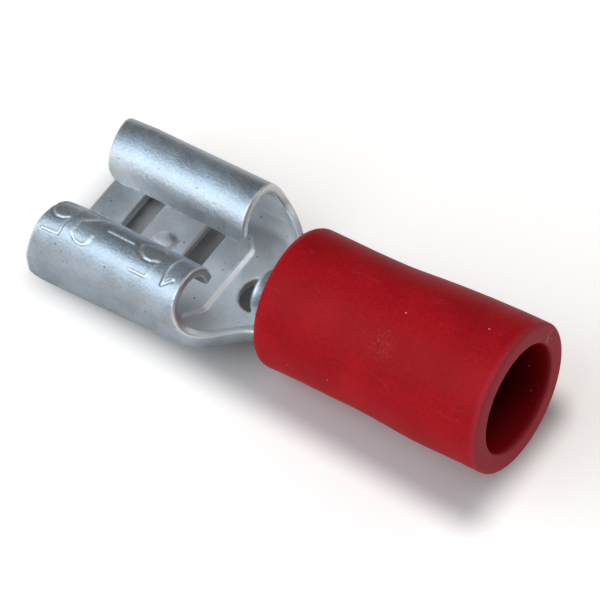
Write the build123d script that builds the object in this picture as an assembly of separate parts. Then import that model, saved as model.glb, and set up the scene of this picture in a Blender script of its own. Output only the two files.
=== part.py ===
"""Female spade terminal: a receptacle folded from one sheet, with its barrel gripped by a sleeve.

The part is drawn along X, from the mouth at x = 0 to the wire end, with z = 0 on top of the bed that
the tab slides over. At the end it is laid down the way it comes to rest, nose and sleeve on the table.
"""
import os
from math import asin, atan2, cos, degrees, hypot, radians, sin

from build123d import *

# Sheet and tab
sheet = 0.4                # thickness of the folded sheet
tab_thickness = 0.8        # blade that slides in between bed and lips

# Rolled wings
receptacle_width = 7.55    # over both rolls
roll_radius = 1.35         # outside of the rolled top
bend_radius = 1.08         # outside of the bend at the floor
roll_height = 2.6          # top of the rolls above the bed
roll_length = 7.1
wall_setback = 0.05        # front edge of a roll behind the mouth, at its outer wall
lip_setback = 0.6          # the same at its lip
lip_sweep = 165.0          # degrees turned by the top of a roll before the lip runs straight
lip_front_round = 0.7      # corner of the lip at the mouth
lip_rear_round = 0.25      # corner of the lip at the neck

# Raised bed with its slots and dimple
bed_rise = 0.18            # height of the bed above the neck's floor
bed_width = 4.9
bed_setback = 0.06         # end of the bed before the end of the rolls
bed_corner = 0.65          # 45 degree corners at the neck
bed_draft = 22.0           # slope of the bed's sides, degrees
pocket_inset = 0.25        # how far the hollow below stays inside the bed's outline
slot_width = 0.9
slot_length = 4.4
slot_centres = (2.09, 5.14)
dimple_side = 0.25         # dimple off the middle of the bed
dimple_radius = 0.62
dimple_height = 0.4

# Neck, with a window in its floor and a hooded wire stop behind the window
neck_length = 2.8          # from the rolls to the sleeve
neck_wall_top = 1.0        # top of the upturned walls above the bed
neck_wall_rise = 0.4       # how much higher the walls are at the sleeve
neck_bend = 1.6            # outside of the bend at the sleeve
neck_curl = 25.0           # degrees that the walls curl inward at the sleeve
neck_lip = 0.3             # straight end of a curled wall
neck_room = 0.06           # clearance between the walls and the sleeve's bore
notch_round = 0.5          # inner corner between a roll's end and the wall
stop_setback = 1.49        # front edge of the stop behind the rolls
stop_radius = 0.88
stop_lift = 0.36           # axis of the hood above the neck's floor
stop_length = 0.8          # straight part of the hood before its rounded back
stop_wall = 0.3
stop_edge_round = 0.1
window_radius = 0.8
window_lead = 0.28         # middle of the window before the stop's edge

# Crimp barrel
barrel_bore = 1.65         # radius
barrel_setback = 1.35      # where the sheet has closed to a tube, behind the sleeve's front
barrel_length = 3.6
barrel_drop = 0.7          # bottom of the barrel below the neck
seam_gap = 0.08            # butt seam along the top

# Insulating sleeve
sleeve_length = 10.55
sleeve_front_radius = 2.89
sleeve_rear_radius = 3.11
sleeve_front_round = 0.38
mouth_bore = 2.3           # radius at the neck, coned down to the barrel
sleeve_edge_break = 0.06
entry_bore = 2.28          # radius at the wire end
flare_lead = 0.3           # flare starts this far before the barrel's end
flare_length = 2.1
funnel_length = 1.5
funnel_lead = 0.05         # funnel's throat over the barrel's bore

# Levels, stations and centres that follow from these
floor_top = -bed_rise
floor_bottom = floor_top - sheet
bend_y = receptacle_width / 2 - bend_radius
bend_z = floor_bottom + bend_radius
top_y = receptacle_width / 2 - roll_radius
top_z = roll_height - roll_radius
bed_end = roll_length - bed_setback
dimple_x = sum(slot_centres) / len(slot_centres)
stop_start = roll_length + stop_setback
sleeve_start = roll_length + neck_length
sleeve_end = sleeve_start + sleeve_length
barrel_start = sleeve_start + barrel_setback
barrel_end = barrel_start + barrel_length
barrel_radius = barrel_bore + sheet
axis_z = floor_bottom - barrel_drop + barrel_radius


def polar(centre, radius, angle):
    """Point at an angle in degrees on a circle about centre."""
    return centre[0] + radius * cos(radians(angle)), centre[1] + radius * sin(radians(angle))


def roll_section():
    """Section across the wings: floor, outer bend, wall, rolled top and straight lip, both sides."""
    low, high = (bend_y, bend_z), (top_y, top_z)
    bend_inner, roll_inner = bend_radius - sheet, roll_radius - sheet
    sweep = radians(lip_sweep)
    run = (top_z + roll_inner * sin(sweep) - tab_thickness) / -cos(sweep)
    lips = [polar(high, r, lip_sweep) for r in (roll_inner, roll_radius)]
    ends = [(y - sin(sweep) * run, z + cos(sweep) * run) for y, z in lips]
    half = Curve() + [
        Line((0, floor_top), (bend_y, floor_top)),
        CenterArc(low, bend_inner, -90, 90),
        Line(polar(low, bend_inner, 0), polar(high, roll_inner, 0)),
        CenterArc(high, roll_inner, 0, lip_sweep),
        Polyline(lips[0], ends[0], ends[1], lips[1]),
        CenterArc(high, roll_radius, 0, lip_sweep),
        Line(polar(high, roll_radius, 0), polar(low, bend_radius, 0)),
        CenterArc(low, bend_radius, -90, 90),
        Polyline((bend_y, floor_bottom), (0, floor_bottom), (0, floor_top)),
    ]
    side = make_face(half)
    return Plane.YZ * (side + mirror(side, about=Plane.YZ))


def lip_corner(x, radius, way):
    """What a rounded lip corner at x leaves out, where way points along X into the lip."""
    block = Pos(x, 0, tab_thickness) * Box(2 * radius, 2 * top_y, 2 * radius)
    kept = Rot(90, 0, 0) * Cylinder(radius, 2 * top_y)
    return block - Pos(x + way * radius, 0, tab_thickness + radius) * kept


def wings():
    """Rolled wings whose front edges slant back and whose lips have rounded corners."""
    outer, inner = receptacle_width / 2, top_y - roll_radius
    slant = make_face(Polyline(
        (-lip_setback, outer), (wall_setback, outer), (lip_setback, inner), (-lip_setback, inner), close=True))
    front = extrude(Pos(0, 0, bend_z) * slant, roll_height)
    body = extrude(roll_section(), roll_length) - front - mirror(front, about=Plane.XZ)
    return body - lip_corner(lip_setback, lip_front_round, 1) - lip_corner(roll_length, lip_rear_round, -1)


def bed_outline(inset):
    """Plan of the raised bed, open past the mouth and with 45 degree corners at the neck."""
    y = bed_width / 2 - inset
    x = bed_end - inset
    return make_face(Polyline(
        (-sheet, -y), (x - bed_corner, -y), (x, bed_corner - y),
        (x, y - bed_corner), (x - bed_corner, y), (-sheet, y), close=True))


def bed_features(body):
    """Press the bed up out of the floor, pierce its slots and raise its dimple."""
    pad = extrude(Pos(0, 0, floor_top) * bed_outline(0), bed_rise, taper=bed_draft)
    pocket = extrude(Pos(0, 0, floor_bottom) * bed_outline(pocket_inset), bed_rise, taper=bed_draft)
    ahead = Pos(-roll_length / 2, 0, 0) * Box(roll_length, 2 * receptacle_width, 2 * receptacle_width)
    body = body + (pad - ahead) - pocket
    for x in slot_centres:
        body -= Pos(x, 0, 0) * Box(slot_width, slot_length, 2 * sheet + tab_thickness)
    ball = (dimple_radius ** 2 + dimple_height ** 2) / (2 * dimple_height)
    centre = Pos(dimple_x, dimple_side, dimple_height - ball)
    cap = centre * Sphere(ball) & Pos(dimple_x, dimple_side, 0) * Box(4 * ball, 4 * ball, 2 * dimple_height)
    return body + cap - centre * Sphere(ball - sheet)


def neck_section(x, flat, radius, bottom, curl, wall):
    """One half of the upturned channel at a station: flat floor, bend and straight end of the wall."""
    inner = radius - sheet
    low = (flat, bottom + radius)
    turn = radians(curl)
    feet = [polar(low, r, curl) for r in (inner, radius)]
    tops = [(y - sin(turn) * wall, z + cos(turn) * wall) for y, z in feet]
    half = Curve() + [
        Line((0, bottom + sheet), (flat, bottom + sheet)),
        CenterArc(low, inner, -90, 90 + curl),
        Polyline(feet[0], tops[0], tops[1], feet[1]),
        CenterArc(low, radius, -90, 90 + curl),
        Polyline((flat, bottom), (0, bottom), (0, bottom + sheet)),
    ]
    return Plane.YZ.offset(x) * make_face(half)


def neck():
    """Channel that tapers from the wings into the sleeve and there opens into the barrel's lower half."""
    flat = mouth_bore - neck_room - neck_bend
    tube_bend = barrel_radius - 2 * neck_room
    at_rolls = neck_section(
        roll_length, bend_y, bend_radius, floor_bottom, 0, neck_wall_top + 2 * notch_round - bend_z)
    at_sleeve = neck_section(sleeve_start, flat, neck_bend, floor_bottom, neck_curl, neck_lip)
    at_barrel = neck_section(
        barrel_start, neck_room, tube_bend, axis_z - tube_bend - neck_room, neck_curl, neck_lip)
    side = loft([at_rolls, at_sleeve]) + loft([at_sleeve, at_barrel])
    length = neck_length + barrel_setback
    rise = neck_wall_rise * length / neck_length
    above = make_face(Polyline((0, 0), (length, rise), (length, roll_height), (0, roll_height), close=True))
    above = fillet(above.vertices().group_by(Axis.X)[0].sort_by(Axis.Y)[0], notch_round)
    side -= extrude(Plane.XZ * Pos(roll_length, neck_wall_top) * above, receptacle_width, both=True)
    return side + mirror(side, about=Plane.XZ)


def hood(radius):
    """Bullet along X with a round back, whose axis lies above the neck's floor."""
    run = Rot(0, 90, 0) * Cylinder(radius, stop_length, align=(Align.CENTER, Align.CENTER, Align.MIN))
    bullet = run + Pos(stop_length, 0, 0) * Sphere(radius)
    return Pos(stop_start, 0, floor_top + stop_lift) * bullet


def wire_stop(body):
    """Pierce the window and raise the hooded stop behind it out of the floor."""
    outer, inner = hood(stop_radius), hood(stop_radius - stop_wall)
    reach = 4 * stop_radius
    upper = Pos(stop_start, 0, floor_top - sheet / 2) * Box(
        reach, reach, reach, align=(Align.MIN, Align.CENTER, Align.MIN))
    shell = outer & upper
    front = shell.edges().filter_by(GeomType.CIRCLE).group_by(Axis.X)[0]
    shell = fillet(front, stop_edge_round)
    window = Pos(stop_start - window_lead, 0, floor_top) * Cylinder(window_radius, 4 * sheet)
    below = Pos(stop_start, 0, floor_top) * Box(
        reach, reach, 2 * sheet, align=(Align.MIN, Align.CENTER, Align.MAX))
    return body - (window - outer) + shell - (inner - below)


def barrel():
    """Rolled crimp barrel with a butt seam on top."""
    ring = Plane.YZ.offset(barrel_start) * Pos(0, axis_z) * (Circle(barrel_radius) - Circle(barrel_bore))
    seam = Pos(barrel_start, 0, axis_z + barrel_radius) * Box(3 * barrel_length, seam_gap, 3 * sheet)
    return extrude(ring, barrel_length) - seam


def receptacle():
    """The whole folded sheet, from the mouth to the end of the barrel."""
    return wire_stop(bed_features(wings() + neck())) + barrel()


def insulating_sleeve():
    """Tube turned about the barrel's axis: gripping bore, funnel and flared wire end."""
    throat = barrel_bore + funnel_lead
    front, rear, edge = sleeve_front_radius, sleeve_rear_radius, sleeve_edge_break
    flare_start = barrel_end - flare_lead
    flare_end = flare_start + flare_length
    round_centre = (sleeve_start + sleeve_front_round, front - sleeve_front_round)
    outline = Curve() + [
        Line((sleeve_start, mouth_bore), (sleeve_start, front - sleeve_front_round)),
        CenterArc(round_centre, sleeve_front_round, 90, 90),
        Line((sleeve_start + sleeve_front_round, front), (flare_start, front)),
        Spline((flare_start, front), (flare_end, rear), tangents=((1, 0), (1, 0))),
        Polyline(
            (flare_end, rear), (sleeve_end - edge, rear), (sleeve_end, rear - edge),
            (sleeve_end, entry_bore + edge), (sleeve_end - edge, entry_bore),
            (barrel_end + funnel_length, entry_bore), (barrel_end, throat),
            (barrel_end, barrel_radius), (barrel_start, barrel_radius), (sleeve_start, mouth_bore)),
    ]
    return Pos(0, 0, axis_z) * revolve(Plane.XZ * make_face(outline), Axis.X)


def rest_angle():
    """Slope in degrees of the table line from the nose's lower edge to the sleeve's rounded front."""
    run = sleeve_start + sleeve_front_round
    drop = floor_bottom - (axis_z - sleeve_front_radius + sleeve_front_round)
    return degrees(atan2(drop, run) + asin(sleeve_front_round / hypot(run, drop)))


def at_rest(pieces):
    """Lay the pieces on the table, with the origin under the middle of the whole part's box."""
    laid = [Rot(0, -rest_angle(), 0) * piece for piece in pieces]
    box = laid[0].bounding_box().add(laid[1].bounding_box())
    return [Pos(-box.center().X, -box.center().Y, -box.min.Z) * piece for piece in laid]


nodes = ("receptacle", "insulating_sleeve")
os.makedirs("parts", exist_ok=True)
for name, solid in zip(nodes, at_rest([receptacle(), insulating_sleeve()])):
    export_step(solid, f"parts/{name}.step")
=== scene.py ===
"""Female spade terminal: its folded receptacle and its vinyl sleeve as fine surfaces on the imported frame.

Shapes are worked out in millimetres in the drawing frame, which has X from the mouth to the wire end and
z = 0 on top of the bed that the tab slides over. lay_down() then puts them at rest, in metres.
"""

import bpy
import numpy as np
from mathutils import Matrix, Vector


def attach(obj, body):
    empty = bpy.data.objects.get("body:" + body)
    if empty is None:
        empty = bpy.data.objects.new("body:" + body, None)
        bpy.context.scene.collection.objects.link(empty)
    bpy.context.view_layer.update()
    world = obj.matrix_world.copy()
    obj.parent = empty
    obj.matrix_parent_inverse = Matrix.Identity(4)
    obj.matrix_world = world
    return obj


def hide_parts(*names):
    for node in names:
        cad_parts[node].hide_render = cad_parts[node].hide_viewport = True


bl_info = {
    "name": "Female spade terminal",
    "version": (1, 0, 0),
    "blender": (4, 5, 0),
    "location": "View3D > Sidebar > Terminal",
    "description": "Builds the receptacle and the sleeve of a crimp-on spade terminal on its packed frame",
    "category": "Add Mesh",
}

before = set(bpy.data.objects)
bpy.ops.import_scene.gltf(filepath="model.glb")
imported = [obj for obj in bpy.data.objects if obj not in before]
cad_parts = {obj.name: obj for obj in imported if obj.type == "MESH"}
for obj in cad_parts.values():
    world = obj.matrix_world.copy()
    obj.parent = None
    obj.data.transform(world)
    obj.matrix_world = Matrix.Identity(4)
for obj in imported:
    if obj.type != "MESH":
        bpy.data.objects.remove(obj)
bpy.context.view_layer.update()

# Place of the drawing frame in the row frame: turned about Y, in degrees, and shifted, in millimetres
REST_TILT = 8.543104
REST_SHIFT = (-10.1798, 0.0, 0.5736)

# Rolled wings, in millimetres
HALF_WIDTH = 3.775
ROLL_RADIUS = 1.35
BEND_RADIUS = 1.08
ROLL_TOP = 2.6
ROLL_LENGTH = 7.1
LIP_SWEEP = 165.0
LIP_CELLS = 6
ROLL_LIFT = ((0.0, 0.35), (1.3, 0.45), (7.1, 0.08))
TAB_GAP = 0.93
WALL_SETBACK = 0.05
FOOT_SETBACK = 0.8
LIP_SETBACK = 0.64
LIP_FRONT_ROUND = 0.75
LIP_REAR_ROUND = 0.25
LIFT_TURN = 75.0
REAR_FROM = 6.0
REAR_TURN = 50.0
# Painted light on the plate: bounce light on the rolls' lips, a highlight on the stamped strokes, and shade on
# the inner plate that grows towards the mouth
LIP_BOUNCE_LIGHT = 0.45
STROKE_HIGHLIGHT = 0.8
MOUTH_SHADE = 0.6
MOUTH_SHADE_FROM = 2.0
MOUTH_SHADE_RUN = 1.4

# Raised bed with its slots and dimple
BED_HALF = 2.45
BED_END = 7.04
BED_CORNER = 0.65
FLOOR_BOTTOM = -0.58
RISER = 0.15
SIDE_RISER = 0.15
SLOTS = ((1.64, 2.54), (4.69, 5.59))
SLOT_HALF = 2.2
DIMPLE_AT = (3.615, 0.25)
DIMPLE_RADIUS = 0.62
DIMPLE_BASE = 0.18

# Cells across half the sheet: to the window's edge, the slots' ends, the bed's crest, its foot and the bend,
# then round the bend and up the wall. The mouth's lower corner is set back between the foot lines.
FLOOR_CELLS = (12, 7, 2, 6, 2)
BEND_CELLS = 12
WALL_CELLS = 2
WINDOW_LINE, SLOT_LINE, CREST_LINE, FOOT_LINE, BEND_LINE = np.cumsum(FLOOR_CELLS).tolist()
FOOT_LINES = (24, 32, 36, 41)

# Neck, window, wire stop and barrel
SLEEVE_START = 9.9
BARREL_START = 11.25
BARREL_END = 14.85
NECK_START = 7.3
NECK_HALF = 2.12
NECK_BEND = 0.95
WALL_END = 7.36
WALL_TOP = 0.62
WALL_FALL = 0.42
WINDOW_AT = 8.46
WINDOW_RADIUS = 0.87
WINDOW_TIP = 9.0
STOP_AT = 8.62
STOP_RADIUS = 0.95
STOP_DIP = 0.24
STOP_LIFT = 0.36
STOP_RUN = 0.8
STOP_WALL = 0.24
STOP_SINK = 0.2
STOP_DEPTH = 0.7
BARREL_RADIUS = 2.05
AXIS_Z = 0.77
BARREL_CURL = 84.9
BARREL_FLAT = 0.004
BARREL_WALL = 0.14

# Sleeve
SLEEVE_END = 20.45
MOUTH_BORE = 2.3
FLARE = (13.8, 18.0)
FUNNEL_END = 16.35
THROAT = 1.7
SCUFF_AT = (0.00487, -0.00177, 0.00593)

# Stamped figures: strokes in a cell one unit high, each a run of points
GLYPHS = {
    "1": [[(0.1, 0.8), (0.3, 1.0), (0.3, 0.0)]],
    "2": [[(0.02, 0.74), (0.08, 0.9), (0.22, 0.99), (0.4, 0.98), (0.54, 0.87), (0.57, 0.7),
           (0.5, 0.52), (0.3, 0.3), (0.02, 0.0), (0.6, 0.0)]],
    "5": [[(0.56, 1.0), (0.1, 1.0), (0.05, 0.55), (0.2, 0.63), (0.38, 0.63), (0.54, 0.51), (0.6, 0.33),
           (0.53, 0.13), (0.36, 0.01), (0.18, 0.01), (0.02, 0.12)]],
    "-": [[(0.0, 0.42), (0.68, 0.42)]],
}
STAMP_TEXT = (("1", 0.1), ("5", 1.15), ("-", 2.5), ("2", 4.0), ("5", 5.3))
STAMP_START = 6.9
STAMP_FOOT = 130.0
STAMP_HEIGHT = 1.7

# Stage: lamps as direction, distance, size and tint, bright sides of the studio as direction, cosine where they
# start and strength, and the part's footprint, where a shadow is painted on the floor, with the width of that
# painted shadow's edge to the camera and to metal
KEY_LAMP = ((-0.45, -0.63, 0.64), 0.45, 0.45, (0.82, 0.93, 1.0))
FILL_LAMP = ((0.41, 0.47, 0.78), 0.45, 0.26, (1.0, 0.98, 0.95))
BRIGHT_SIDES = (
    ((-0.6, -0.25, 0.76), 0.55, 1.0), ((-0.4, -0.9, 0.15), 0.2, 0.35), ((0.41, 0.47, 0.78), 0.8, 0.8))
DIFFUSE_LIGHT = 0.45
FLOOR_HALF = 1.5
PAINTED_SHADOW_FOOTPRINT = (0.0095, 0.0026)
CAMERA_SHADOW_EDGE = 0.0018
METAL_SHADOW_EDGE = 0.0055
CAMERA_AT = (0.056808, -0.091198, 0.156689)
CAMERA_TURN = (34.90341, -1.33715, 33.82449)
CAMERA_LENS = 292.335


def lay_down(points):
    """Drawing points in millimetres to row points in metres: turned about Y by the rest tilt, then shifted."""
    c, s = np.cos(np.radians(REST_TILT)), np.sin(np.radians(REST_TILT))
    x, y, z = points[..., 0], points[..., 1], points[..., 2]
    turned = np.stack([x * c - z * s, y, x * s + z * c], -1)
    return (turned + REST_SHIFT) / 1000.0


def ease(t):
    """Smooth step: 0 below 0, 1 above 1, and three t squared minus two t cubed between."""
    t = np.clip(t, 0.0, 1.0)
    return t * t * (3.0 - 2.0 * t)


def stations(stops, step, edge):
    """Rising values through every stop, with a cell of the edge size beside each and even steps between."""
    runs = []
    for a, b in zip(stops, stops[1:]):
        count = max(2, int(round((b - a - 2 * edge) / step)) + 1)
        runs.append(np.concatenate([[a], np.linspace(a + edge, b - edge, count)]))
    return np.concatenate(runs + [[stops[-1]]])


def quads(index):
    """Faces between neighbours of a grid of point numbers, wound from its rows to its columns."""
    return np.stack([index[:-1, :-1], index[1:, :-1], index[1:, 1:], index[:-1, 1:]], -1)


def new_piece(name, points, faces, values):
    """Mesh object from row points, four-sided faces and point values, ridden on the root body."""
    mesh = bpy.data.meshes.new(name)
    mesh.vertices.add(len(points))
    mesh.vertices.foreach_set("co", np.ascontiguousarray(points, np.float32).ravel())
    mesh.loops.add(faces.size)
    mesh.loops.foreach_set("vertex_index", np.ascontiguousarray(faces, np.int32).ravel())
    mesh.polygons.add(len(faces))
    mesh.polygons.foreach_set("loop_start", np.arange(0, faces.size, 4, dtype=np.int32))
    mesh.polygons.foreach_set("use_smooth", np.ones(len(faces), bool))
    mesh.update(calc_edges=True)
    if mesh.validate():
        raise RuntimeError(f"{name} had faces that Blender had to mend")
    for key, value in values.items():
        layer = mesh.attributes.new(key, "FLOAT", "POINT")
        layer.data.foreach_set("value", np.ascontiguousarray(value, np.float32))
    piece = bpy.data.objects.new(name, mesh)
    bpy.context.scene.collection.objects.link(piece)
    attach(piece, "root")
    return piece


def close_sheet(top, bottom, faces, radius, grown, clean, stroke_highlight, steps=3):
    """Closes two faces of a sheet along every free edge with a rim whose corners are rounded.

    At a free edge, n runs from the bottom to the top of the sheet and m is across the edge and n, away from
    the sheet. The edge is drawn in by the radius, or left in place where the rim is grown, and the rim's corner
    points are the edge plus m times radius sin a minus n times radius (1 - cos a), mirrored at the bottom. The
    inside value, which picks the brighter inner plate, is 1 on the top, less towards the mouth as painted
    shade, and on the bottom the given share, which paints bounce light on the rolls' lips. The painted
    highlight value is 1 on the rim and on the bottom the painted highlight of the stamped strokes. No rim takes
    more than 0.7 of the cell beside it.
    """
    count = len(top)
    tail, head = faces.ravel(), np.roll(faces, -1, 1).ravel()
    free = ~np.isin(head * count + tail, tail * count + head)
    tail, head = tail[free], head[free]
    n = (top - bottom) / np.linalg.norm(top - bottom, axis=1, keepdims=True)
    along = top[head] - top[tail]
    along /= np.linalg.norm(along, axis=1, keepdims=True)
    across = np.cross(along, n[tail] + n[head])
    across /= np.linalg.norm(across, axis=1, keepdims=True)
    m = np.zeros_like(top)
    np.add.at(m, tail, across)
    np.add.at(m, head, across)
    length = np.linalg.norm(m, axis=1, keepdims=True)
    m = 2.0 * m / np.clip(length, 0.5, None) ** 2 * np.clip(length, 0.0, 1.99) / 1.99
    rim = np.unique(np.concatenate([tail, head]))
    on_rim = np.isin(np.arange(count), rim)
    first, second = faces.ravel(), np.roll(faces, -1, 1).ravel()
    first, second = np.concatenate([first, second]), np.concatenate([second, first])
    beside = on_rim[first] & ~on_rim[second]
    first, second = first[beside], second[beside]
    room = np.full(count, radius / 0.7)
    for side in (top, bottom):
        inward = ((side[first] - side[second]) * m[first]).sum(1)
        np.minimum.at(room, first, np.clip(inward, 0.02, None))
    radius = np.where(grown[rim], radius, 0.7 * room[rim])[:, None]
    drawn = np.where(grown[rim], 0.0, 1.0)[:, None]
    place = np.full(count, -1)
    place[rim] = np.arange(len(rim))
    m, n = m[rim], n[rim]
    top, bottom = top.copy(), bottom.copy()
    top[rim] -= m * radius * drawn
    bottom[rim] -= m * radius * drawn
    angles = np.linspace(0, np.pi / 2, steps + 1)[1:, None, None]
    upper = top[rim] + m * radius * np.sin(angles) - n * radius * (1 - np.cos(angles))
    lower = bottom[rim] + m * radius * np.sin(angles) + n * radius * (1 - np.cos(angles))
    rings = np.concatenate([upper, lower[::-1]])
    number = 2 * count + np.arange(rings.shape[0] * len(rim)).reshape(rings.shape[0], len(rim))
    number = np.concatenate([rim[None], number, count + rim[None]])
    a, b = number[:, place[tail]], number[:, place[head]]
    wall = np.stack([b[:-1], a[:-1], a[1:], b[1:]], -1).reshape(-1, 4)
    points = np.concatenate([top, bottom, rings.reshape(-1, 3)])
    shell = np.concatenate([faces, faces[:, ::-1] + count, wall])
    # Painted highlight: 1 on the rim's rings, 0.6 at its edges, and on the bottom the strokes' painted
    # highlight
    edge = np.zeros(len(points))
    edge[count:2 * count] = stroke_highlight
    edge[2 * count:] = 1.0
    edge[rim] = edge[count + rim] = 0.6
    inside = np.zeros(len(points))
    # Painted shade: the inner plate's share drops towards the mouth, darkening the bed there
    inside[:count] = 1.0 - MOUTH_SHADE * ease((MOUTH_SHADE_FROM - top[:, 0]) / MOUTH_SHADE_RUN)
    inside[count:2 * count] = clean
    return points, shell, {"painted_highlight": edge, "inside": inside}


def neck_outline(x):
    """Section values at each station: half flat, bend radius, bottom, curl in degrees and straight wall.

    They hold along the wings, draw in to the sleeve's front by a smooth step, and ease from there into the
    round barrel. Behind the rolls the wall's height falls off exponentially with the station.
    """
    run = np.clip((x - NECK_START) / (SLEEVE_START - NECK_START), 0, 1)
    tube = ease((x - SLEEVE_START) / (BARREL_START - SLEEVE_START))
    bend = BEND_RADIUS * (1 - run) + NECK_BEND * run
    flat = HALF_WIDTH - (HALF_WIDTH - NECK_HALF) * ease(run) - bend
    flat = flat * (1 - tube) + BARREL_FLAT * tube
    bend = bend * (1 - tube) + (BARREL_RADIUS - BARREL_FLAT) * tube
    bottom = FLOOR_BOTTOM * (1 - tube) + (AXIS_Z - BARREL_RADIUS + BARREL_FLAT) * tube
    curl = BARREL_CURL * tube
    roll_foot = ROLL_TOP - ROLL_RADIUS
    edge = WALL_TOP + (roll_foot - WALL_TOP) * np.exp(-np.clip(x - WALL_END, 0, None) / WALL_FALL)
    wall = (edge - bottom - bend) * (1 - tube) + BARREL_WALL * tube
    return flat, bend, bottom, curl, wall


def window_cut():
    """Radius of the window as the grid cuts it, before its rim grows inward, and the station of its front."""
    cut = WINDOW_RADIUS + settings().edge_round * 1000
    return cut, WINDOW_AT - cut * np.cos(np.radians(WINDOW_TIP))


def floor_lines(x, flat):
    """Distances from the middle of the grid lines along the floor, which follow what lies there.

    They run straight along the slots, follow the bed's 45 degree corners and open round the window.
    """
    corner = np.clip(x - (BED_END - BED_CORNER), 0, BED_CORNER)
    shrink = flat / (HALF_WIDTH - BEND_RADIUS)
    foot = (BED_HALF - corner) * shrink
    crest = foot - (SIDE_RISER + 0.14 * np.clip(corner / 0.2, 0, 1)) * shrink
    cut, tip = window_cut()
    arc = np.sqrt(np.clip(cut ** 2 - (x - WINDOW_AT) ** 2, 0.0, None))
    first = cut * np.sin(np.radians(WINDOW_TIP))
    ahead = 1.0 + (first - 1.0) * ease((x - ROLL_LENGTH + 1.0) / (tip - ROLL_LENGTH + 1.0))
    last = np.sqrt(cut ** 2 - (STOP_AT - WINDOW_AT) ** 2)
    after = np.minimum(last, 0.45 * flat)
    inner = np.where(x < tip, ahead, np.where(x <= STOP_AT, arc, after))
    inner = np.where(x > STOP_AT, last + (after - last) * ease((x - STOP_AT) / 1.0), inner)
    middle = inner + (crest - inner) * (SLOT_HALF - 1.0) / (BED_HALF - SIDE_RISER - 1.0)
    knots = [np.zeros_like(x), inner, middle, crest, foot, flat]
    lines = [knots[0][:, None]]
    for a, b, cells in zip(knots, knots[1:], FLOOR_CELLS):
        lines.append(a[:, None] + (b - a)[:, None] * np.linspace(0, 1, cells + 1)[1:])
    return np.concatenate(lines, 1)


def half_channel(x):
    """Outer points and outward directions across one half of the sheet: floor, bend and straight wall."""
    flat, bend, bottom, curl, wall = neck_outline(x)
    y = floor_lines(x, flat)
    floor = np.stack([y, np.broadcast_to(bottom[:, None], y.shape)], -1)
    down = np.zeros_like(floor)
    down[..., 1] = -1.0
    turn = np.radians(-90 + (90 + curl[:, None]) * np.linspace(0, 1, BEND_CELLS + 1)[1:])
    way = np.stack([np.cos(turn), np.sin(turn)], -1)
    centre = np.stack([flat, bottom + bend], -1)[:, None]
    arc = centre + bend[:, None, None] * way
    c = np.radians(curl)[:, None]
    rise = wall[:, None] * np.linspace(0, 1, WALL_CELLS + 1)[1:]
    upright = arc[:, -1:] + np.stack([-np.sin(c) * rise, np.cos(c) * rise], -1)
    out = np.broadcast_to(way[:, -1:], upright.shape)
    return np.concatenate([floor, arc, upright], 1), np.concatenate([down, way, out], 1)


def half_roll(turn, lip_cells):
    """Outer points and outward directions of one rolled top: an arc through the given degrees, then the lip.

    The lip runs straight on from the arc's end until its inner corner is a tab's thickness above the bed.
    """
    sheet = settings().sheet * 1000
    centre = np.array([HALF_WIDTH - ROLL_RADIUS, ROLL_TOP - ROLL_RADIUS])
    turn = np.radians(turn)
    way = np.stack([np.cos(turn), np.sin(turn)], -1)
    arc = centre + ROLL_RADIUS * way
    end = np.radians(LIP_SWEEP)
    run = (centre[1] + (ROLL_RADIUS - sheet) * np.sin(end) - TAB_GAP) / -np.cos(end)
    steps = run * np.linspace(0, 1, lip_cells + 1)[1:, None]
    lip = arc[-1] + steps * np.array([-np.sin(end), np.cos(end)])
    left = np.concatenate([run + ROLL_RADIUS * (end - turn), run - steps[:, 0]])
    return np.concatenate([arc, lip]), np.concatenate([way, np.broadcast_to(way[-1], lip.shape)]), left


def roll_stations(x, outer, left, turn):
    """Stations of a roll's points, which lean back at the mouth and round off the lip's two corners.

    The front is set back with the square root of how far a point lies inward of the outer wall, and both ends
    by a quarter circle's depth as the lip's free edge comes near. Low on the outside the rear end runs on
    towards the neck, by one minus the turn's share of the rear turn, squared.
    """
    drawn = 1 - np.clip(1 - turn / REAR_TURN, 0, 1) ** 2
    late = np.clip((x - REAR_FROM) / (WALL_END - REAR_FROM), 0, 1)[:, None]
    x = x[:, None] - (WALL_END - ROLL_LENGTH) * drawn * late
    inward = (HALF_WIDTH - outer[:, 0]) / (2 * ROLL_RADIUS)
    front = WALL_SETBACK + (LIP_SETBACK - WALL_SETBACK) * np.sqrt(np.clip(inward, 0, None))

    def depth(radius):
        away = np.clip(1 - left / radius, 0, 1)
        return radius * (1 - np.sqrt(np.clip(1 - away ** 2, 0.0, None)))

    front = front + depth(LIP_FRONT_ROUND)
    share = np.clip(x / ROLL_LENGTH, 0, 1)
    return x + front * (1 - share) - depth(LIP_REAR_ROUND) * share


def stamp_depth(x, turn):
    """Depth of the stamped figures at points of the near roll, from 0 outside the strokes to 1 along them.

    Reading goes from the neck to the mouth, with the figures' feet near the top of the roll. The depth is one
    minus the squared distance to the nearest stroke over the stroke's half width, squared.
    """
    reading = STAMP_START - x
    up = np.radians(STAMP_FOOT - turn) * ROLL_RADIUS
    tails, heads = [], []
    for glyph, start in STAMP_TEXT:
        for stroke in GLYPHS[glyph]:
            run = np.array(stroke) * STAMP_HEIGHT + np.array([start, 0.0])
            tails.append(run[:-1])
            heads.append(run[1:])
    tails, heads = np.concatenate(tails), np.concatenate(heads)
    spot = np.stack([reading, up], -1)[..., None, :]
    run = heads - tails
    t = np.clip(((spot - tails) * run).sum(-1) / (run ** 2).sum(-1), 0, 1)
    gap = np.linalg.norm(spot - tails - t[..., None] * run, axis=-1).min(-1)
    half = settings().stamp_width * 500
    return np.clip(1 - (gap / half) ** 2, 0, 1) ** 2


def settings():
    """Sizes and colours of the receptacle as the scene holds them."""
    return bpy.context.scene.terminal_receptacle


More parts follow.
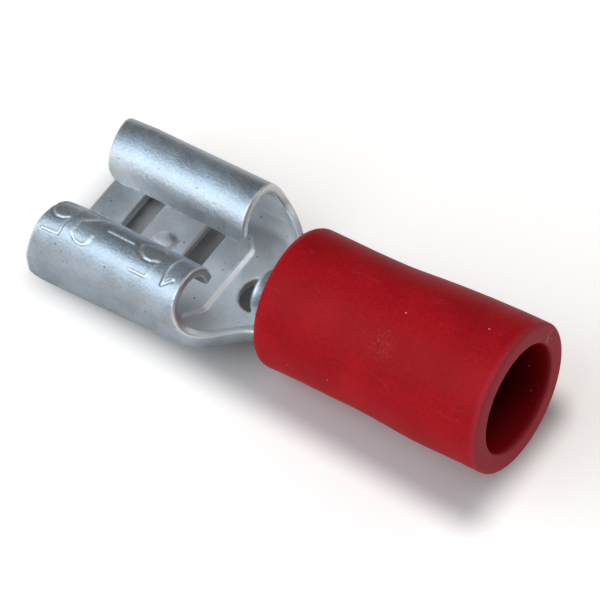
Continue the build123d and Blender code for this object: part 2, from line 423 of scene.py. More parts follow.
def receptacle_sheet():
    """Both faces of the folded sheet, from the mouth to the barrel's end, as points, faces and edge values.

    The outer face is a section that changes along X, and the inner face lies a sheet's thickness inside it.
    The rolls stand a little higher towards the mouth, and the mouth's lower corners are rounded off.
    The bed, its riser and the dimple lift both faces of the floor, and the stamp sinks the outer face.
    """
    s = settings()
    sheet, rise = s.sheet * 1000, s.bed_rise * 1000
    wing = stations((0.0,) + SLOTS[0] + SLOTS[1] + (BED_END - RISER,), 0.042, 0.14)
    riser = np.linspace(BED_END - RISER, BED_END, 6)[1:]
    wing = np.concatenate([wing, riser, [7.18, WALL_END]])
    cut, tip = window_cut()
    stop = np.degrees(np.arccos((WINDOW_AT - STOP_AT) / cut))
    window = WINDOW_AT - cut * np.cos(np.radians(np.linspace(WINDOW_TIP, stop, 18)))
    behind = np.linspace(WALL_END, tip, 4)[1:-1]
    after = stations((STOP_AT, SLEEVE_START), 0.08, 0.09)[1:]
    throat = stations((SLEEVE_START, BARREL_START), 0.1, 0.1)[1:]
    tube = np.linspace(BARREL_START, BARREL_END, 9)[1:]
    x = np.concatenate([wing, behind, window, after, throat, tube])
    outer, way = half_channel(x)
    outer = np.concatenate([outer[:, :0:-1] * [-1, 1], outer], 1)
    way = np.concatenate([way[:, :0:-1] * [-1, 1], way], 1)
    inner = outer - sheet * way

    columns = outer.shape[1]
    lines = np.abs(np.arange(columns) - columns // 2)
    across = 0.5 + 0.5 * np.cos(np.pi * np.clip((lines - CREST_LINE) / (FOOT_LINE - CREST_LINE), 0, 1))
    along = np.clip((BED_END - x) / RISER, 0, 1)
    lift = rise * along[:, None] * across
    away = np.hypot(x[:, None] - DIMPLE_AT[0], outer[..., 0] - DIMPLE_AT[1]) / DIMPLE_RADIUS
    dome = np.sqrt(np.clip(1 + DIMPLE_BASE - away ** 2, 0, None)) - np.sqrt(DIMPLE_BASE)
    dome = dome / (np.sqrt(1 + DIMPLE_BASE) - np.sqrt(DIMPLE_BASE)) * ease((1.02 - away) / 0.35)
    on_floor = (lines <= BEND_LINE)[None]
    lift = np.where(on_floor, lift + s.dimple_height * 1000 * np.clip(dome, 0, None), 0)
    outer[..., 1] += lift
    inner[..., 1] += lift

    def solid_points(stations_of, section):
        return np.concatenate([np.broadcast_to(stations_of, section.shape[:2])[..., None], section], -1)

    count = len(wing)
    base_out, base_in = solid_points(x[:, None], outer), solid_points(x[:, None], inner)
    rising, full, falling, end = FOOT_LINES
    foot = ease((lines - rising) / (full - rising)) * ease((end - lines) / (end - falling))
    setback = WALL_SETBACK * np.clip((lines - BEND_LINE) / BEND_CELLS, 0, 1) + FOOT_SETBACK * foot
    lean = np.clip(1 - x / ROLL_LENGTH, 0, 1)[:, None] * setback
    base_out[..., 0] += lean
    base_in[..., 0] += lean
    index = np.arange(base_out.shape[0] * columns).reshape(-1, columns)
    points_out, points_in = [base_out.reshape(-1, 3)], [base_in.reshape(-1, 3)]
    clean, stroke_highlight = [np.zeros(index.size)], [np.zeros(index.size)]
    total = index.size

    fine = np.concatenate([
        np.linspace(0, 36, 9)[1:], np.linspace(36, 150, 73)[1:], np.linspace(150, LIP_SWEEP, 5)[1:]])
    plain = np.linspace(0, LIP_SWEEP, 30)[1:]
    grids = []
    for side, turn in ((-1, fine), (1, plain)):
        section, out, left = half_roll(turn, LIP_CELLS)
        degrees = np.concatenate([turn, np.full(LIP_CELLS, LIP_SWEEP)])
        place = roll_stations(wing, section, left, degrees)
        shape = place.shape + (2,)
        skin = np.broadcast_to(section, shape).copy()
        raised = np.interp(wing, *np.array(ROLL_LIFT).T)
        skin[..., 1] += raised[:, None] * ease(degrees / LIFT_TURN)
        normal = np.broadcast_to(out, shape)
        under = skin - sheet * normal
        degrees = np.broadcast_to(degrees, place.shape)
        # Painted bounce light: the lip's outside takes the brighter inner plate colour
        clean.append(LIP_BOUNCE_LIGHT * ease((degrees - 115) / 45).ravel())
        stamp = stamp_depth(place, degrees) if side < 0 else np.zeros(place.shape)
        # Painted highlight along the stamped strokes
        stroke_highlight.append(STROKE_HIGHLIGHT * stamp.ravel())
        skin -= s.stamp_depth * 1000 * stamp[..., None] * normal
        flip = np.array([side, 1])
        points_out.append(solid_points(place, skin * flip).reshape(-1, 3))
        points_in.append(solid_points(place, under * flip).reshape(-1, 3))
        number = total + np.arange(place.size).reshape(place.shape)
        total += place.size
        if side < 0:
            grids.append(np.concatenate([number[:, ::-1], index[:count, :1]], 1))
        else:
            grids.append(np.concatenate([index[:count, -1:], number], 1))

    base = quads(index)
    middle = 0.5 * (x[1:] + x[:-1])[:, None]
    cell = np.minimum(lines[1:], lines[:-1])[None]
    hole = np.zeros(base.shape[:2], bool)
    for low, high in SLOTS:
        hole |= (middle > low) & (middle < high) & (cell < SLOT_LINE)
    hole |= (middle > window[0]) & (middle < window[-1]) & (cell < WINDOW_LINE)
    faces = np.concatenate([base[~hole]] + [quads(g).reshape(-1, 4) for g in grids])
    top, bottom = np.concatenate(points_in), np.concatenate(points_out)
    clean, stroke_highlight = np.concatenate(clean), np.concatenate(stroke_highlight)
    grown = np.zeros(len(top), bool)
    at_window = (x >= window[0]) & (x <= window[-1])
    grown[index[at_window[:, None] & (lines <= WINDOW_LINE)[None]]] = True
    return close_sheet(top, bottom, faces, s.edge_round * 1000, grown, clean, stroke_highlight)


def wire_stop():
    """Hood behind the window: a profile of station and radius turned about the hood's own axis.

    The profile runs out along the inside, round the front edge as a half circle, sloping back along the outside
    and down a quarter circle to a tip sunk in the floor. The turn goes from just inside the floor to the other
    side and is closed inside the floor, and both ends are capped by rungs from one side to the other.
    """
    s = settings()
    middle = STOP_RADIUS - STOP_WALL / 2
    half = STOP_WALL / 2
    bow = np.radians(np.linspace(-90, 90, 13))
    back = np.radians(np.linspace(90, 1, 16))
    inside = np.linspace(STOP_AT + STOP_DEPTH, STOP_AT + half + 0.05, 5)
    outside = np.linspace(STOP_AT + half + 0.05, STOP_AT + STOP_RUN - 0.05, 5)
    along = np.concatenate([
        inside, STOP_AT + half - half * np.cos(bow), outside,
        STOP_AT + STOP_RUN + STOP_RADIUS * np.cos(back)])
    radius = np.concatenate([
        np.full(5, STOP_RADIUS - STOP_WALL), middle + half * np.sin(bow),
        np.linspace(STOP_RADIUS, STOP_RADIUS - STOP_DIP, 5), (STOP_RADIUS - STOP_DIP) * np.sin(back)])
    dip = np.degrees(np.arcsin((STOP_LIFT + STOP_SINK) / STOP_RADIUS))
    turn = np.radians(np.linspace(-dip, 180 + dip, 48))
    share = np.ones(len(along))
    share[-len(back):] = np.sin(back)
    height = FLOOR_BOTTOM + s.sheet * 1000 - STOP_SINK + (STOP_LIFT + STOP_SINK) * share[:, None]
    y = radius[:, None] * np.cos(turn)
    z = height + radius[:, None] * np.sin(turn)
    points = np.stack([np.broadcast_to(along[:, None], y.shape), y, z], -1)
    index = np.arange(y.size).reshape(y.shape)
    k = np.arange(y.shape[1] // 2 - 1)
    caps = np.stack([index[:, k], index[:, k + 1], index[:, -2 - k], index[:, -1 - k]], -1)
    faces = quads(np.concatenate([index, index[:, :1]], 1)).reshape(-1, 4)
    faces = np.concatenate([faces, caps[0], caps[-1, :, ::-1]])
    # Painted highlight on the hood's front edge: full on the bow's outer half, faint on its inner part
    bright = np.zeros(y.shape)
    bright[5:11] = 0.2
    bright[11:18] = 1.0
    return points.reshape(-1, 3), faces, {"painted_highlight": bright.ravel(), "inside": np.zeros(y.size)}


def rounded(corners, radii, cells=6):
    """Closed outline with rounded corners: each corner gives way to the arc that touches both its sides."""
    points = np.array(corners, float)
    before, after = np.roll(points, 1, 0) - points, np.roll(points, -1, 0) - points
    before /= np.linalg.norm(before, axis=1, keepdims=True)
    after /= np.linalg.norm(after, axis=1, keepdims=True)
    half = 0.5 * np.arccos(np.clip((before * after).sum(1), -1, 1))
    radii = np.array(radii, float)
    reach = radii / np.tan(half)
    inward = before + after
    inward /= np.linalg.norm(inward, axis=1, keepdims=True)
    centre = points + inward * (radii / np.sin(half))[:, None]
    first, last = points + before * reach[:, None] - centre, points + after * reach[:, None] - centre
    t = np.linspace(0, 1, cells + 1)[None, :, None]
    spread = (np.pi - 2 * half)[:, None, None]
    mix = np.sin((1 - t) * spread) * first[:, None] + np.sin(t * spread) * last[:, None]
    return (centre[:, None] + mix / np.sin(spread)).reshape(-1, 2)


def sleeve_profile():
    """Closed outline of the sleeve's wall as station and radius, with even points along its long runs."""
    s = bpy.context.scene.terminal_sleeve
    front, rear, bore = s.front_radius * 1000, s.rear_radius * 1000, s.entry_bore * 1000
    corners = [(SLEEVE_START, MOUTH_BORE), (SLEEVE_START, front), (SLEEVE_END, front), (SLEEVE_END, bore)]
    radii = [0.045, s.front_round * 1000, 0.16, 0.08]
    corners += [(FUNNEL_END, bore), (BARREL_END, THROAT)]
    corners += [(BARREL_END, BARREL_RADIUS), (BARREL_START, BARREL_RADIUS)]
    radii += [0.5, 0.04, 0.04, 0.3]
    outline = rounded(corners, radii)
    step = np.roll(outline, -1, 0) - outline
    cells = np.maximum(1, np.round(np.linalg.norm(step, axis=1) / 0.18).astype(int))
    start = np.repeat(np.arange(len(outline)), cells)
    share = (np.arange(cells.sum()) - np.repeat(np.cumsum(cells) - cells, cells)) / cells[start]
    outline = outline[start] + step[start] * share[:, None]
    swell = ease((outline[:, 0] - FLARE[0]) / (FLARE[1] - FLARE[0]))
    outline[:, 1] += (rear - front) * swell * np.clip((outline[:, 1] - bore) / (front - bore), 0, 1)
    return outline


def sleeve_surface():
    """The sleeve's outline turned about the barrel's axis, with the slight unevenness of soft tube.

    The radius swells and shrinks by a few hundredths of a millimetre with the turn and the station. The front
    leans back at the top, where the neck also stretches the tube, and the cut end has one small nick. The cut
    value is 1 on the end face, and the depth value, which paints shade deep in the bore, grows to 1 inside it.
    """
    s = bpy.context.scene.terminal_sleeve
    outline = sleeve_profile()
    x, r = outline[:, :1], outline[:, 1:]
    turn = np.linspace(0, 2 * np.pi, 160, endpoint=False)[None]
    outside = np.clip((r - 2.6) / 0.2, 0, 1) * np.clip((SLEEVE_END - 0.3 - x) / 0.5, 0, 1)
    sway = 0.012 * np.sin(2 * turn + 0.9 * x) + 0.008 * np.sin(3 * turn - 1.7 * x + 1.0)
    radius = r + s.unevenness * 1000 * outside * sway / 0.02
    front = ease((12.8 - x) / 2.6) * np.clip((r - 2.2) / 0.4, 0, 1)
    radius = radius + s.stretch * 1000 * front * np.clip(np.sin(turn), 0, 1) ** 2
    x = x + s.front_lean * 500 * (1 + np.sin(turn)) * np.clip((11.5 - x) / 1.6, 0, 1)
    nick = np.exp(-((turn - np.radians(27)) / 0.08) ** 2) * np.exp(-((r - 2.56) / 0.15) ** 2)
    x = x - 0.12 * nick * np.clip((x - SLEEVE_END + 0.4) / 0.3, 0, 1)
    y, z = radius * np.cos(turn), AXIS_Z + radius * np.sin(turn)
    points = np.stack([x, y, z], -1)
    index = np.arange(y.size).reshape(y.shape)
    index = np.concatenate([index, index[:1]])
    index = np.concatenate([index, index[:, :1]], 1)
    cut = np.clip((outline[:, 0] - SLEEVE_END + 0.2) / 0.16, 0, 1)
    cut = np.broadcast_to(cut[:, None], y.shape).ravel()
    inside = outline[:, 1] < s.entry_bore * 1000 + 0.06
    depth = inside * np.clip((SLEEVE_END - 0.05 - outline[:, 0]) / 1.6, 0, 1)
    depth = np.broadcast_to(depth[:, None], y.shape).ravel()
    nick = np.broadcast_to(nick * np.clip((outline[:, :1] - SLEEVE_END + 0.2) / 0.1, 0, 1), y.shape).ravel()
    return points.reshape(-1, 3), quads(index).reshape(-1, 4), {"cut": cut, "depth": depth, "nick": nick}


def feed(tree, socket, value):
    """Links a socket to a node's output, or sets its value."""
    if isinstance(value, bpy.types.NodeSocket):
        tree.links.new(value, socket)
    else:
        socket.default_value = value


def put(tree, kind, **inputs):
    """New shader node of a kind, with values or links for its inputs, and other settings by attribute name."""
    node = tree.nodes.new(kind)
    for key, value in inputs.items():
        socket = node.inputs.get(key.replace("_", " "))
        if socket is None:
            setattr(node, key, value)
        else:
            feed(tree, socket, value)
    return node


def math(tree, operation, *values):
    """Output of a Math node on up to three values or links."""
    node = tree.nodes.new("ShaderNodeMath")
    node.operation = operation
    for socket, value in zip(node.inputs, values):
        feed(tree, socket, value)
    return node.outputs[0]


def mixed(tree, share, first, second):
    """Colour output that goes from the first colour to the second by a share."""
    node = tree.nodes.new("ShaderNodeMix")
    node.data_type = "RGBA"
    for number, value in ((0, share), (6, first), (7, second)):
        feed(tree, node.inputs[number], value)
    return node.outputs[2]


def spread(tree, value, low, high, to_low, to_high):
    """Value mapped from one range to another and held at its ends."""
    node = put(
        tree, "ShaderNodeMapRange", Value=value, From_Min=low, From_Max=high, To_Min=to_low, To_Max=to_high)
    return node.outputs[0]


def new_group(name, inputs, outputs):
    """Empty shader node group with float inputs by default value, a Vector input and float outputs."""
    group = bpy.data.node_groups.new(name, "ShaderNodeTree")
    group.interface.new_socket("Vector", in_out="INPUT", socket_type="NodeSocketVector")
    for key, value in inputs.items():
        socket = group.interface.new_socket(key, in_out="INPUT", socket_type="NodeSocketFloat")
        socket.default_value = value
    for key in outputs:
        group.interface.new_socket(key, in_out="OUTPUT", socket_type="NodeSocketFloat")
    return group, group.nodes.new("NodeGroupInput").outputs, group.nodes.new("NodeGroupOutput").inputs


def mottle_group():
    """Mottle: broad cloudy variation and fine grain, each a value about one half."""
    group, given, wanted = new_group(
        "Mottle", {"Cloud Scale": 600.0, "Grain Scale": 9000.0}, ("Cloud", "Grain"))
    cloud = put(group, "ShaderNodeTexNoise", Vector=given["Vector"], Scale=given["Cloud Scale"], Detail=4.0)
    grain = put(group, "ShaderNodeTexNoise", Vector=given["Vector"], Scale=given["Grain Scale"], Detail=3.0)
    group.links.new(cloud.outputs["Fac"], wanted["Cloud"])
    group.links.new(grain.outputs["Fac"], wanted["Grain"])
    return group


def speck_group():
    """Specks: scattered small spots, 1 inside a spot, where only a share of the cells holds one."""
    group, given, wanted = new_group("Specks", {"Scale": 1500.0, "Share": 0.1, "Size": 0.15}, ("Mask",))
    cells = put(group, "ShaderNodeTexVoronoi", Vector=given["Vector"], Scale=given["Scale"])
    chance = put(group, "ShaderNodeSeparateColor", Color=cells.outputs["Color"])
    held = math(group, "LESS_THAN", chance.outputs[0], given["Share"])
    size = math(group, "MULTIPLY", given["Size"], math(group, "ADD", chance.outputs[1], 0.35))
    near = math(group, "SUBTRACT", size, cells.outputs["Distance"])
    soft = math(group, "MULTIPLY", near, 14.0)
    node = group.nodes.new("ShaderNodeClamp")
    group.links.new(math(group, "MULTIPLY", soft, held), node.inputs[0])
    group.links.new(node.outputs[0], wanted["Mask"])
    return group


def scratch_group():
    """Scratches: thin broken lines along the stretched direction of the given vector, 1 on a line."""
    group, given, wanted = new_group("Scratches", {"Scale": 300.0, "Share": 0.3}, ("Mask",))
    bend = put(group, "ShaderNodeTexNoise", Vector=given["Vector"], Scale=given["Scale"], Detail=1.0)
    line = math(group, "ABSOLUTE", math(group, "SUBTRACT", bend.outputs["Fac"], 0.5))
    thin = spread(group, line, 0.0, 0.012, 1.0, 0.0)
    patch = put(group, "ShaderNodeTexNoise", Vector=given["Vector"], Detail=1.0)
    group.links.new(math(group, "MULTIPLY", given["Scale"], 2.3), patch.inputs["Scale"])
    held = math(group, "LESS_THAN", patch.outputs["Fac"], given["Share"])
    group.links.new(math(group, "MULTIPLY", thin, held), wanted["Mask"])
    return group


def shared(name, maker):
    """The node group of that name, made once."""
    return bpy.data.node_groups.get(name) or maker()


def use_group(tree, group, **inputs):
    """A node group placed in a material, with its own values."""
    node = tree.nodes.new("ShaderNodeGroup")
    node.node_tree = group
    for key, value in inputs.items():
        feed(tree, node.inputs[key.replace("_", " ")], value)
    return node.outputs


def new_material(name):
    """Empty node material with its Principled shader and the piece's own coordinates."""
    material = bpy.data.materials.new(name)
    material.use_nodes = True
    tree = material.node_tree
    tree.nodes.clear()
    shader = tree.nodes.new("ShaderNodeBsdfPrincipled")
    out = tree.nodes.new("ShaderNodeOutputMaterial")
    tree.links.new(shader.outputs[0], out.inputs[0])
    place = tree.nodes.new("ShaderNodeTexCoord").outputs["Object"]
    return material, tree, shader, place


def tin_plating():
    """Satin tin plate: cloudy grey with fine grain and dark pin specks, an inner face that is brighter partly
    as clean plate and partly as painted light, and painted highlights on the cut rims, the stamped strokes and
    the hood's edge.
    """
    s = settings()
    material, tree, shader, place = new_material("tin_plating")
    mottle = use_group(
        tree, shared("Mottle", mottle_group), Vector=place, Cloud_Scale=900.0, Grain_Scale=10000.0)
    specks = use_group(tree, shared("Specks", speck_group), Vector=place, Scale=5600.0, Share=0.12, Size=0.24)
    edge = put(tree, "ShaderNodeAttribute", attribute_name="painted_highlight").outputs["Fac"]
    cloud = spread(tree, mottle["Cloud"], 0.35, 0.68, 0.0, 1.0)
    grain = spread(tree, mottle["Grain"], 0.3, 0.7, 0.0, 1.0)
    tone = math(tree, "ADD", math(tree, "MULTIPLY", cloud, 0.55), math(tree, "MULTIPLY", grain, 0.45))
    # Inner face: brighter plate, partly clean and partly painted light for the light lost inside the fold
    inside = put(tree, "ShaderNodeAttribute", attribute_name="inside").outputs["Fac"]
    low = mixed(tree, inside, tuple(s.tarnish) + (1.0,), tuple(0.8 * c for c in s.clean) + (1.0,))
    high = mixed(tree, inside, tuple(s.plating) + (1.0,), tuple(s.clean) + (1.0,))
    colour = mixed(tree, tone, low, high)
    # Painted highlight: the rims, the stamped strokes and the hood's front edge are lifted towards near white
    colour = mixed(tree, math(tree, "MULTIPLY", edge, 0.6), colour, (0.88, 0.88, 0.87, 1.0))
    dark = math(tree, "MULTIPLY", specks["Mask"], 0.55)
    tree.links.new(mixed(tree, dark, colour, (0.12, 0.11, 0.1, 1.0)), shader.inputs["Base Color"])
    rough = math(tree, "ADD", spread(tree, grain, 0.0, 1.0, 0.37, 0.53), math(tree, "MULTIPLY", cloud, 0.06))
    tree.links.new(rough, shader.inputs["Roughness"])
    relief = math(tree, "ADD", grain, math(tree, "MULTIPLY", cloud, 0.3))
    relief = math(tree, "MULTIPLY", relief, spread(tree, inside, 0.0, 1.0, 1.0, 0.35))
    bump = put(tree, "ShaderNodeBump", Height=relief, Strength=0.5, Distance=0.000012)
    tree.links.new(bump.outputs[0], shader.inputs["Normal"])
    shader.inputs["Metallic"].default_value = 1.0
    return material


def red_vinyl():
    """Deep red soft vinyl: cloudy tone, pale rubbed patches and scratches, white dust, a paler cut end and
    painted shade deep in the bore.
    """
    s = bpy.context.scene.terminal_sleeve
    material, tree, shader, place = new_material("red_vinyl")
    mottle = use_group(
        tree, shared("Mottle", mottle_group), Vector=place, Cloud_Scale=420.0, Grain_Scale=8500.0)
    dust = use_group(tree, shared("Specks", speck_group), Vector=place, Scale=2200.0, Share=0.045, Size=0.11)
    stretch = put(tree, "ShaderNodeMapping", Vector=place)
    stretch.inputs["Scale"].default_value = (0.35, 1.0, 1.6)
    lines = use_group(
        tree, shared("Scratches", scratch_group), Vector=stretch.outputs[0], Scale=700.0, Share=0.36)
    cut = put(tree, "ShaderNodeAttribute", attribute_name="cut").outputs["Fac"]
    cloud = spread(tree, mottle["Cloud"], 0.35, 0.7, 0.0, 1.0)
    grain = spread(tree, mottle["Grain"], 0.3, 0.7, 0.0, 1.0)
    deep = tuple(0.6 * c for c in s.vinyl) + (1.0,)
    tone = math(tree, "ADD", math(tree, "MULTIPLY", cloud, 0.45), math(tree, "MULTIPLY", grain, 0.55))
    colour = mixed(tree, tone, deep, tuple(s.vinyl) + (1.0,))
    rub = spread(tree, mottle["Cloud"], 0.64, 0.78, 0.0, 0.14)
    colour = mixed(tree, math(tree, "MULTIPLY", rub, grain), colour, tuple(s.cut_end) + (1.0,))
    colour = mixed(tree, math(tree, "MULTIPLY", lines["Mask"], 0.04), colour, (0.62, 0.3, 0.31, 1.0))
    rim = math(tree, "MULTIPLY", cut, spread(tree, grain, 0.0, 1.0, 0.7, 1.0))
    colour = mixed(tree, rim, colour, tuple(s.cut_end) + (1.0,))
    spot = put(tree, "ShaderNodeVectorMath", operation="DISTANCE")
    tree.links.new(place, spot.inputs[0])
    spot.inputs[1].default_value = SCUFF_AT
    scuff = math(tree, "MULTIPLY", spread(tree, spot.outputs["Value"], 0.0, 0.0007, 0.2, 0.0),
                 spread(tree, mottle["Grain"], 0.48, 0.62, 0.0, 1.0))
    colour = mixed(tree, scuff, colour, (0.6, 0.2, 0.21, 1.0))
    nick = put(tree, "ShaderNodeAttribute", attribute_name="nick").outputs["Fac"]
    nick = math(tree, "MULTIPLY", nick, spread(tree, grain, 0.45, 0.65, 0.1, 1.0))
    colour = mixed(tree, nick, colour, (0.72, 0.55, 0.63, 1.0))
    pits = use_group(tree, shared("Specks", speck_group), Vector=place, Scale=3400.0, Share=0.06, Size=0.13)
    colour = mixed(tree, math(tree, "MULTIPLY", pits["Mask"], 0.55), colour, (0.11, 0.004, 0.006, 1.0))
    # Painted shade in the bore: the colour darkens with depth towards a fifth of the vinyl's
    depth = put(tree, "ShaderNodeAttribute", attribute_name="depth").outputs["Fac"]
    dark = tuple(0.2 * c for c in s.vinyl) + (1.0,)
    colour = mixed(tree, math(tree, "MULTIPLY", depth, 0.92), colour, dark)
    colour = mixed(tree, math(tree, "MULTIPLY", dust["Mask"], 0.75), colour, (0.78, 0.68, 0.68, 1.0))
    shader.inputs["Specular IOR Level"].default_value = 0.06
    tree.links.new(colour, shader.inputs["Base Color"])
    tree.links.new(spread(tree, grain, 0.0, 1.0, 0.42, 0.56), shader.inputs["Roughness"])
    bump = put(tree, "ShaderNodeBump", Height=grain, Strength=0.2, Distance=0.00001)
    tree.links.new(bump.outputs[0], shader.inputs["Normal"])
    return material


def length(name, description, default):
    """Length property in metres."""
    return bpy.props.FloatProperty(
        name=name, description=description, default=default, min=0.0, precision=5, unit="LENGTH")


def colour(name, description, default):
    """Colour property."""
    return bpy.props.FloatVectorProperty(
        name=name, description=description, default=default, min=0.0, max=1.0, subtype="COLOR")


class TerminalReceptacle(bpy.types.PropertyGroup):
    """Sizes and colours of the folded receptacle."""
    sheet: length("Sheet", "Thickness of the folded sheet", 0.0004)
    bed_rise: length("Bed rise", "Height of the raised bed above the neck's floor", 0.00012)
    dimple_height: length("Dimple height", "Height of the locking dimple above the bed", 0.00027)
    edge_round: length("Edge round", "Radius on the sheared edges of the sheet", 0.0001)
    stamp_depth: length("Stamp depth", "Depth of the stamped figures", 0.00005)
    stamp_width: length("Stamp width", "Width of the stamped strokes", 0.00019)
    # Partly clean plate and partly painted light: brighter than real tin to make up for light lost inside the
    # fold
    clean: colour("Clean plate", "Tin plate inside the fold", (0.95, 0.96, 0.975))
    plating: colour("Handled plate", "Tin plate on the outside", (0.48, 0.54, 0.605))
    tarnish: colour("Tarnish", "Dull spots on the outside", (0.3, 0.325, 0.35))


class TerminalSleeve(bpy.types.PropertyGroup):
    """Sizes and colours of the insulating sleeve."""
    front_radius: length("Front radius", "Outside of the sleeve over the barrel", 0.00289)
    rear_radius: length("Rear radius", "Outside of the sleeve at the wire end", 0.00311)
    front_round: length("Front round", "Rounding of the sleeve's front edge", 0.00055)
    front_lean: length("Front lean", "How far the sleeve's front edge leans back at the top", 0.00017)
    stretch: length("Stretch", "How far the neck stretches the top of the sleeve's front", 0.00018)
    entry_bore: length("Entry bore", "Radius of the opening for the wire", 0.00228)
    unevenness: length("Unevenness", "How far the soft tube strays from round", 0.00002)
    vinyl: colour("Vinyl", "Body of the sleeve", (0.62, 0.0105, 0.018))
    cut_end: colour("Cut end", "Cut and rubbed vinyl", (0.64, 0.066, 0.086))


class TerminalStage(bpy.types.PropertyGroup):
    """Floor, light and background."""
    floor: colour("Floor", "Pale floor", (0.78, 0.75, 0.73))
    glow: colour("Floor glow", "Light that lifts the open floor to white where it is seen", (0.6, 0.57, 0.55))
    key: bpy.props.FloatProperty(
        name="Key", description="Power of the large soft lamp", default=1.7, min=0.0, unit="POWER")
    fill: bpy.props.FloatProperty(
        name="Fill", description="Power of the lamp on the other side", default=0.24, min=0.0, unit="POWER")
    bright: colour("Bright side", "Studio wall on the lit side", (0.5, 0.6, 0.69))
    dim: colour("Dim side", "Studio wall on the far side", (0.22, 0.205, 0.19))


class TERMINAL_OT_receptacle(bpy.types.Operator):
    """Build the folded receptacle with its rolled wings, bed, neck, wire stop and barrel"""
    bl_idname = "terminal.receptacle"
    bl_label = "Receptacle"

    def execute(self, context):
        points, faces, values = receptacle_sheet()
        more, hood, added = wire_stop()
        faces = np.concatenate([faces, hood + len(points)])
        points = np.concatenate([points, more])
        values = {key: np.concatenate([value, added[key]]) for key, value in values.items()}
        piece = new_piece("folded_receptacle", lay_down(points), faces, values)
        piece.data.materials.append(tin_plating())
        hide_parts("receptacle")
        return {"FINISHED"}


class TERMINAL_OT_sleeve(bpy.types.Operator):
    """Build the vinyl sleeve with its rounded front, flare, cut end and bore"""
    bl_idname = "terminal.sleeve"
    bl_label = "Sleeve"

    def execute(self, context):
        points, faces, values = sleeve_surface()
        piece = new_piece("vinyl_sleeve", lay_down(points), faces, values)
        piece.data.materials.append(red_vinyl())
        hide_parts("insulating_sleeve")
        return {"FINISHED"}


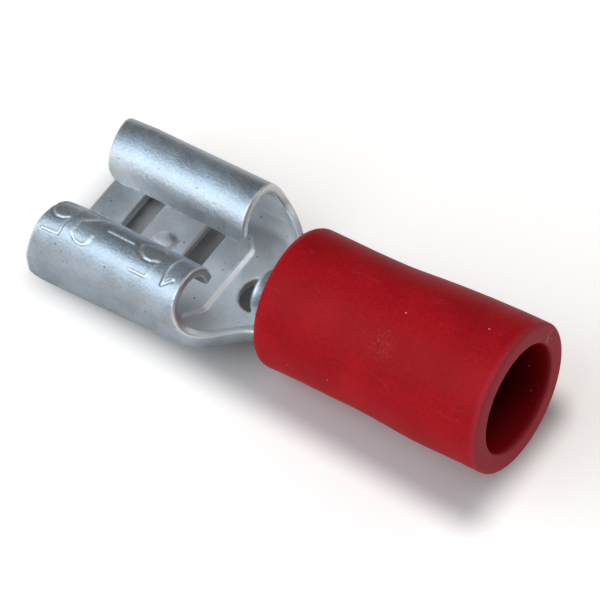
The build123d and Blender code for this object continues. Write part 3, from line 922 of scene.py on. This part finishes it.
class TERMINAL_OT_stage(bpy.types.Operator):
    """Set the pale floor, the soft studio light, the white background and the camera"""
    bl_idname = "terminal.stage"
    bl_label = "Stage"

    def execute(self, context):
        s = context.scene.terminal_stage
        self.set_floor(context, s)
        self.set_world(context, s)
        self.set_lamp(context, "key", s.key, *KEY_LAMP)
        self.set_lamp(context, "fill", s.fill, *FILL_LAMP)
        self.set_camera(context)
        context.scene.view_settings.view_transform = "Standard"
        return {"FINISHED"}

    def set_floor(self, context, s):
        """Large flat floor under the part with its own shading, lifted to white where it is seen except over
        the part's footprint, where the held-back glow paints a shadow that is wider in reflections than to the
        camera.
        """
        edge = FLOOR_HALF
        corners = [(-edge, -edge, 0), (edge, -edge, 0), (edge, edge, 0), (-edge, edge, 0)]
        mesh = bpy.data.meshes.new("floor")
        mesh.from_pydata(corners, [], [(0, 1, 2, 3)])
        floor = bpy.data.objects.new("floor", mesh)
        context.scene.collection.objects.link(floor)
        material, tree, shader, place = new_material("pale_floor")
        shader.inputs["Base Color"].default_value = tuple(s.floor) + (1.0,)
        shader.inputs["Roughness"].default_value = 0.9
        shader.inputs["Specular IOR Level"].default_value = 0.0
        shader.inputs["Emission Color"].default_value = tuple(s.glow) + (1.0,)
        path = tree.nodes.new("ShaderNodeLightPath").outputs
        glossy = math(tree, "MAXIMUM", path["Is Glossy Ray"], path["Is Transmission Ray"])
        # Painted shadow: the glow only fades in past the edge of the part's footprint
        axis = put(tree, "ShaderNodeSeparateXYZ", Vector=place).outputs
        past = [math(tree, "MAXIMUM", math(tree, "SUBTRACT", math(tree, "ABSOLUTE", axis[k]), half), 0.0)
                for k, half in enumerate(PAINTED_SHADOW_FOOTPRINT)]
        away = math(tree, "SQRT", math(tree, "ADD", *[math(tree, "MULTIPLY", d, d) for d in past]))
        clear = []
        for ray, width in ((path["Is Camera Ray"], CAMERA_SHADOW_EDGE), (glossy, METAL_SHADOW_EDGE)):
            step = put(tree, "ShaderNodeMapRange", Value=away, From_Max=width, interpolation_type="SMOOTHSTEP")
            clear.append(math(tree, "MULTIPLY", ray, step.outputs[0]))
        seen = math(tree, "MAXIMUM", *clear)
        tree.links.new(seen, shader.inputs["Emission Strength"])
        mesh.materials.append(material)

    def set_world(self, context, s):
        """White to the camera, and to all else a dim studio with three bright sides."""
        world = bpy.data.worlds.new("studio")
        context.scene.world = world
        world.use_nodes = True
        tree = world.node_tree
        tree.nodes.clear()
        way = tree.nodes.new("ShaderNodeTexCoord").outputs["Generated"]
        share = 0.0
        for centre, low, top in BRIGHT_SIDES:
            lobe = put(tree, "ShaderNodeVectorMath", operation="DOT_PRODUCT")
            tree.links.new(way, lobe.inputs[0])
            lobe.inputs[1].default_value = Vector(centre).normalized()
            share = math(tree, "MAXIMUM", share, spread(tree, lobe.outputs["Value"], low, 1.0, 0.0, top))
        studio = mixed(tree, share, tuple(s.dim) + (1.0,), tuple(s.bright) + (1.0,))
        path = tree.nodes.new("ShaderNodeLightPath").outputs
        glossy = math(tree, "MAXIMUM", path["Is Glossy Ray"], path["Is Transmission Ray"])
        seen = mixed(tree, path["Is Camera Ray"], studio, (1.0, 1.0, 1.0, 1.0))
        sharp = math(tree, "MAXIMUM", path["Is Camera Ray"], glossy)
        strength = spread(tree, sharp, 0.0, 1.0, DIFFUSE_LIGHT, 1.0)
        shade = put(tree, "ShaderNodeBackground", Color=seen, Strength=strength)
        out = tree.nodes.new("ShaderNodeOutputWorld")
        tree.links.new(shade.outputs[0], out.inputs[0])

    def set_lamp(self, context, name, power, way, reach, size, tint):
        """Square soft lamp at a distance in a direction from the part, aimed at it."""
        lamp = bpy.data.lights.new(name, "AREA")
        lamp.size = size
        lamp.energy = power
        lamp.color = tint
        holder = bpy.data.objects.new(name, lamp)
        context.scene.collection.objects.link(holder)
        holder.location = Vector(way).normalized() * reach
        holder.rotation_euler = holder.location.to_track_quat("Z", "Y").to_euler()

    def set_camera(self, context):
        """Camera at the photograph's angle, with a long lens."""
        view = bpy.data.cameras.new("camera")
        view.lens = CAMERA_LENS
        view.sensor_width = 36.0
        view.clip_start = 0.01
        holder = bpy.data.objects.new("camera", view)
        context.scene.collection.objects.link(holder)
        holder.location = CAMERA_AT
        holder.rotation_euler = np.radians(CAMERA_TURN).tolist()
        context.scene.camera = holder


class TERMINAL_PT_panel(bpy.types.Panel):
    """Sizes, colours and build steps of the terminal"""
    bl_label = "Spade terminal"
    bl_idname = "TERMINAL_PT_panel"
    bl_space_type = "VIEW_3D"
    bl_region_type = "UI"
    bl_category = "Terminal"

    def draw(self, context):
        scene = context.scene
        for group, step in (
                (scene.terminal_receptacle, "terminal.receptacle"),
                (scene.terminal_sleeve, "terminal.sleeve"),
                (scene.terminal_stage, "terminal.stage")):
            box = self.layout.box()
            for key in group.bl_rna.properties.keys():
                if key not in {"rna_type", "name"}:
                    box.prop(group, key)
            box.operator(step)


CLASSES = (
    TerminalReceptacle, TerminalSleeve, TerminalStage,
    TERMINAL_OT_receptacle, TERMINAL_OT_sleeve, TERMINAL_OT_stage, TERMINAL_PT_panel)


def register():
    """Register the classes and hang the settings on the scene."""
    for cls in CLASSES:
        bpy.utils.register_class(cls)
    bpy.types.Scene.terminal_receptacle = bpy.props.PointerProperty(type=TerminalReceptacle)
    bpy.types.Scene.terminal_sleeve = bpy.props.PointerProperty(type=TerminalSleeve)
    bpy.types.Scene.terminal_stage = bpy.props.PointerProperty(type=TerminalStage)


def unregister():
    """Take the settings off the scene and unregister the classes."""
    del bpy.types.Scene.terminal_stage
    del bpy.types.Scene.terminal_sleeve
    del bpy.types.Scene.terminal_receptacle
    for cls in reversed(CLASSES):
        bpy.utils.unregister_class(cls)


def main():
    register()
    bpy.ops.terminal.receptacle()
    bpy.ops.terminal.sleeve()
    bpy.ops.terminal.stage()


if __name__ == "__main__":
    main()
